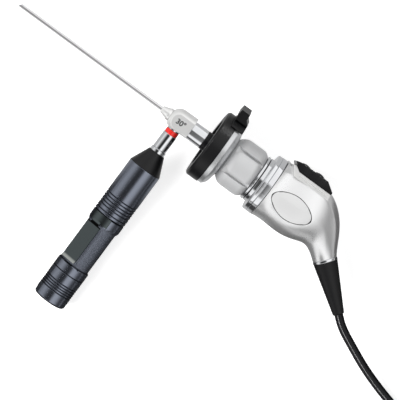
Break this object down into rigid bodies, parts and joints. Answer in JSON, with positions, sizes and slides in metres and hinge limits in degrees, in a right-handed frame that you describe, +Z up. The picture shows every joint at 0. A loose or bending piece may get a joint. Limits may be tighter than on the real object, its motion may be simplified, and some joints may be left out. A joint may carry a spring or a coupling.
{
  "type": "usb endoscope",
  "caption": "Rigid angled scope with a torch on its light post, held in a focusing coupler on a USB camera head with two buttons, a strain relief and a coiled cable.",
  "frame": {"origin": "middle of the underside of the bounding box, measured without the cable", "axes": "+X from the scope's tip towards the cable, +Y towards the keypad, +Z up from the table"},
  "size_m": [0.409, 0.1866, 0.0486],
  "materials": {
    "satin_steel": "satin",
    "polished_steel": "polished",
    "hard_steel": "ground",
    "optic_glass": "clear",
    "black_plastic": "matt",
    "black_anodised": "anodised",
    "blue_grey_anodised": "anodised",
    "clip_steel": "brushed",
    "red_enamel": "gloss",
    "silver_satin": "bead blasted",
    "black_rubber": "matt",
    "board_green": "lacquered",
    "battery_wrap": "gloss",
    "cable_sheath": "satin",
    "plug_steel": "plated"
  },
  "bodies": {
    "head": {"clamp_sleeve": "black_anodised", "clamp_screws": "hard_steel", "coupler_flange": "silver_satin", "coupler_core": "silver_satin", "lens_mount": "polished_steel", "mount_washer": "black_rubber", "head_front": "polished_steel", "chrome_band": "polished_steel", "filter_glass": "optic_glass", "sensor_board": "board_green", "main_board": "board_green", "inner_lead": "cable_sheath", "head_housing": "silver_satin", "side_plate": "silver_satin", "keypad_bezel": "polished_steel", "keypad_pad": "black_rubber", "switch_board": "board_green", "tail_ring": "polished_steel", "strain_relief": "black_rubber", "cable": "cable_sheath", "cable_coil": "cable_sheath", "cable_tail": "cable_sheath", "coil_tie": "cable_sheath", "plug_body": "cable_sheath", "plug_shell": "plug_steel", "plug_tongue": "black_plastic"},
    "scope": {"insertion_tube": "satin_steel", "rod_lens_train": "optic_glass", "light_fibres": "optic_glass", "nose_cone": "satin_steel", "scope_block": "satin_steel", "ocular_tube": "polished_steel", "eyepiece_cup": "black_plastic", "eyepiece_glass": "optic_glass", "light_post": "satin_steel", "angle_ring": "red_enamel", "post_adaptor": "polished_steel", "torch_collar": "polished_steel", "torch_cone": "black_anodised", "condenser_lens": "optic_glass", "led_module": "board_green", "torch_barrel": "blue_grey_anodised", "battery_cell": "battery_wrap", "battery_tube": "blue_grey_anodised", "pocket_clip": "clip_steel", "contact_spring": "hard_steel", "tail_switch": "black_plastic", "tail_cap": "blue_grey_anodised"},
    "torch_button": {"tail_button": "black_rubber"},
    "clamp": {"clamp_ring": "black_anodised", "clamp_lever": "black_anodised"},
    "jaw_a": {"jaw_1": "hard_steel"},
    "jaw_b": {"jaw_2": "hard_steel"},
    "jaw_c": {"jaw_3": "hard_steel"},
    "focus": {"focus_ring": "silver_satin"},
    "carrier": {"focus_carrier": "black_anodised", "focus_lens": "optic_glass", "guide_pins": "hard_steel"},
    "front_button": {"button_front": "black_rubber"},
    "rear_button": {"button_rear": "black_rubber"}
  },
  "joints": [
    {"name": "scope_turn", "type": "hinge", "parent": "head", "child": "scope", "pos_m": [0.01303, 0.0544, 0.02387], "axis": [0.998, 0, -0.064], "continuous": true},
    {"name": "clamp_turn", "type": "hinge", "parent": "head", "child": "clamp", "pos_m": [0.01044, 0.0544, 0.02403], "axis": [0.998, 0, -0.064], "range_deg": [0, 30]},
    {"name": "focus_turn", "type": "hinge", "parent": "head", "child": "focus", "pos_m": [0.03234, 0.0544, 0.02263], "axis": [0.998, 0, -0.064], "range_deg": [-90, 90]},
    {"name": "carrier_slide", "type": "slide", "parent": "head", "child": "carrier", "axis": [0.998, 0, -0.064], "range_m": [-0.00151, 0.00151]},
    {"name": "jaw_a_slide", "type": "slide", "parent": "head", "child": "jaw_a", "axis": [0, 1, 0], "range_m": [0, 0.00141]},
    {"name": "jaw_b_slide", "type": "slide", "parent": "head", "child": "jaw_b", "axis": [0.0554, -0.5, 0.8643], "range_m": [0, 0.00141]},
    {"name": "jaw_c_slide", "type": "slide", "parent": "head", "child": "jaw_c", "axis": [-0.0554, -0.5, -0.8643], "range_m": [0, 0.00141]},
    {"name": "front_button_press", "type": "slide", "parent": "head", "child": "front_button", "axis": [0, -1, 0], "range_m": [0, 0.0008], "stiffness_N_per_m": 2500, "springref_m": -0.0002},
    {"name": "rear_button_press", "type": "slide", "parent": "head", "child": "rear_button", "axis": [0, -1, 0], "range_m": [0, 0.0008], "stiffness_N_per_m": 2500, "springref_m": -0.0002},
    {"name": "torch_button_press", "type": "slide", "parent": "scope", "child": "torch_button", "axis": [0.0067, 0.9946, 0.1037], "range_m": [0, 0.0015], "stiffness_N_per_m": 2000, "springref_m": -0.0003}
  ],
  "couplings": [
    {"joint": "carrier_slide", "follows": "focus_turn", "m_per_rad": -0.00095493},
    {"joint": "jaw_a_slide", "follows": "clamp_turn", "m_per_rad": 0.0026738},
    {"joint": "jaw_b_slide", "follows": "clamp_turn", "m_per_rad": 0.0026738},
    {"joint": "jaw_c_slide", "follows": "clamp_turn", "m_per_rad": 0.0026738}
  ]
}
